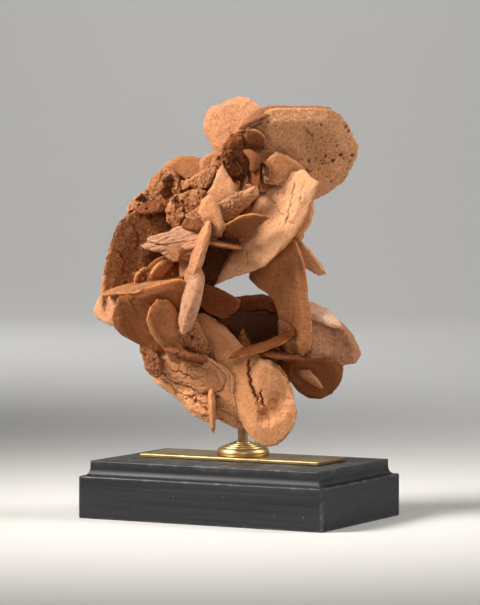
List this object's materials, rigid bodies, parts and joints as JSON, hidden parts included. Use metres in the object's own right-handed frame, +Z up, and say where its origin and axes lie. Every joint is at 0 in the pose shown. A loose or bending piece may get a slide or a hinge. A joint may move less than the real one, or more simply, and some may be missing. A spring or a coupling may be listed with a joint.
{
  "type": "sand rose on stand",
  "caption": "Desert sand rose: an upright cluster of intergrown sandy gypsum blades, carried by a thin brass rod on a moulded black wooden base with a brass plate.",
  "frame": {"origin": "centre of the wooden base's underside", "axes": "+Z up, +X along the base's long side to its right, -Y towards the base's front; the rose's own front is turned 28 degrees from -Y towards +X"},
  "size_m": [0.2028, 0.128, 0.309],
  "materials": {
    "smooth_gypsum": "matt sandy crystal face",
    "rough_gypsum": "matt rough granular crystal face",
    "black_wood": "satin black stained wood",
    "brass": "satin lacquered brass"
  },
  "bodies": {
    "root": {"wooden_base": "black_wood", "brass_plate": "brass", "brass_collar": "brass", "brass_rod": "brass", "tongue": "smooth_gypsum", "tongue_fold": "smooth_gypsum", "main_plate": "smooth_gypsum", "crown_plate": "rough_gypsum", "left_plate": "rough_gypsum", "right_wall": "smooth_gypsum", "crown_left": "smooth_gypsum", "crown_leaf": "smooth_gypsum", "spine_upper": "rough_gypsum", "spine_middle": "rough_gypsum", "spine_lower": "rough_gypsum", "shoulder_lobe": "smooth_gypsum", "shoulder_slope": "rough_gypsum", "shoulder_step": "rough_gypsum", "leaf_upper": "smooth_gypsum", "leaf_lower": "smooth_gypsum", "rough_leaf": "rough_gypsum", "hooded_leaf": "smooth_gypsum", "niche_leaf": "smooth_gypsum", "niche_blade": "smooth_gypsum", "plate_back_edge": "smooth_gypsum", "small_shelf": "smooth_gypsum", "recess_wall": "rough_gypsum", "spear": "smooth_gypsum", "spear_fin": "smooth_gypsum", "fin_sliver": "smooth_gypsum", "flaky_shelf": "smooth_gypsum", "left_shelf": "smooth_gypsum", "left_face": "smooth_gypsum", "ear": "smooth_gypsum", "lower_flap": "smooth_gypsum", "far_corner": "smooth_gypsum", "nest_left": "smooth_gypsum", "nest_middle": "smooth_gypsum", "nest_right": "smooth_gypsum", "bottom_plate": "smooth_gypsum", "bottom_sheet": "smooth_gypsum", "rough_web": "rough_gypsum", "spike": "smooth_gypsum", "mouth_lip": "smooth_gypsum", "inner_left": "smooth_gypsum", "inner_back": "smooth_gypsum", "inner_floor": "rough_gypsum", "right_finger": "smooth_gypsum", "right_lobe": "smooth_gypsum", "lobe_facet": "smooth_gypsum", "lower_lobe": "smooth_gypsum", "lower_leaf": "smooth_gypsum", "core_lower": "smooth_gypsum", "core_upper": "smooth_gypsum", "back_crown": "smooth_gypsum", "back_shoulder": "smooth_gypsum", "back_left": "smooth_gypsum", "back_right": "smooth_gypsum", "back_low_left": "smooth_gypsum", "back_low_right": "smooth_gypsum"}
  },
  "joints": []
}
